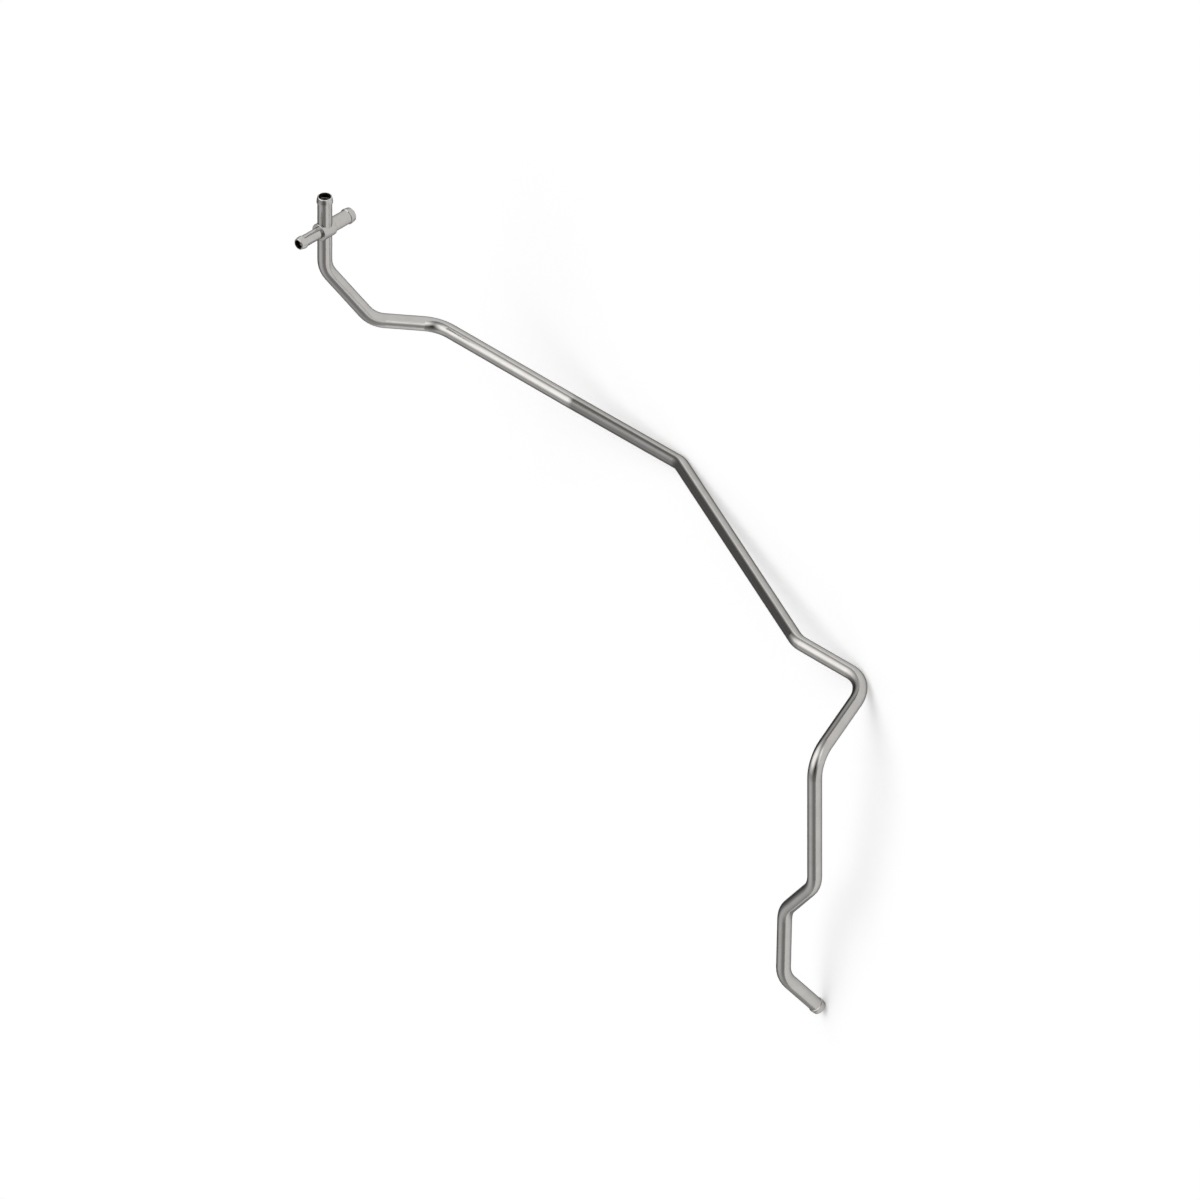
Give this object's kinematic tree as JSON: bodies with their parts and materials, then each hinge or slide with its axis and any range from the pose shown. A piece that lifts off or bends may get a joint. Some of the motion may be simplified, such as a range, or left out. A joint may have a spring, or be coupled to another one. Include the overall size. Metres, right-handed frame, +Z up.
{
  "type": "oil line",
  "caption": "Bent bright steel engine oil line with a brazed cross at its upper end and a rolled hose bead behind every mouth.",
  "frame": {"origin": "on the surface the loose line lies on, under the middle of its bounding box", "axes": "+Z up from that surface, the line lying as it comes to rest on two of its bends and its lower bead; +X along the long run as seen from above, from the cross toward the lower mouth; +Y completes the right hand, the stem's mouth pointing that way"},
  "size_m": [0.9165, 0.51, 0.267],
  "materials": {
    "tube_steel": "smooth satin",
    "hub_steel": "turned, smooth satin"
  },
  "bodies": {
    "root": {"main_tube": "tube_steel", "large_branch": "tube_steel", "small_branch": "tube_steel", "cross_hub": "hub_steel"}
  },
  "joints": []
}
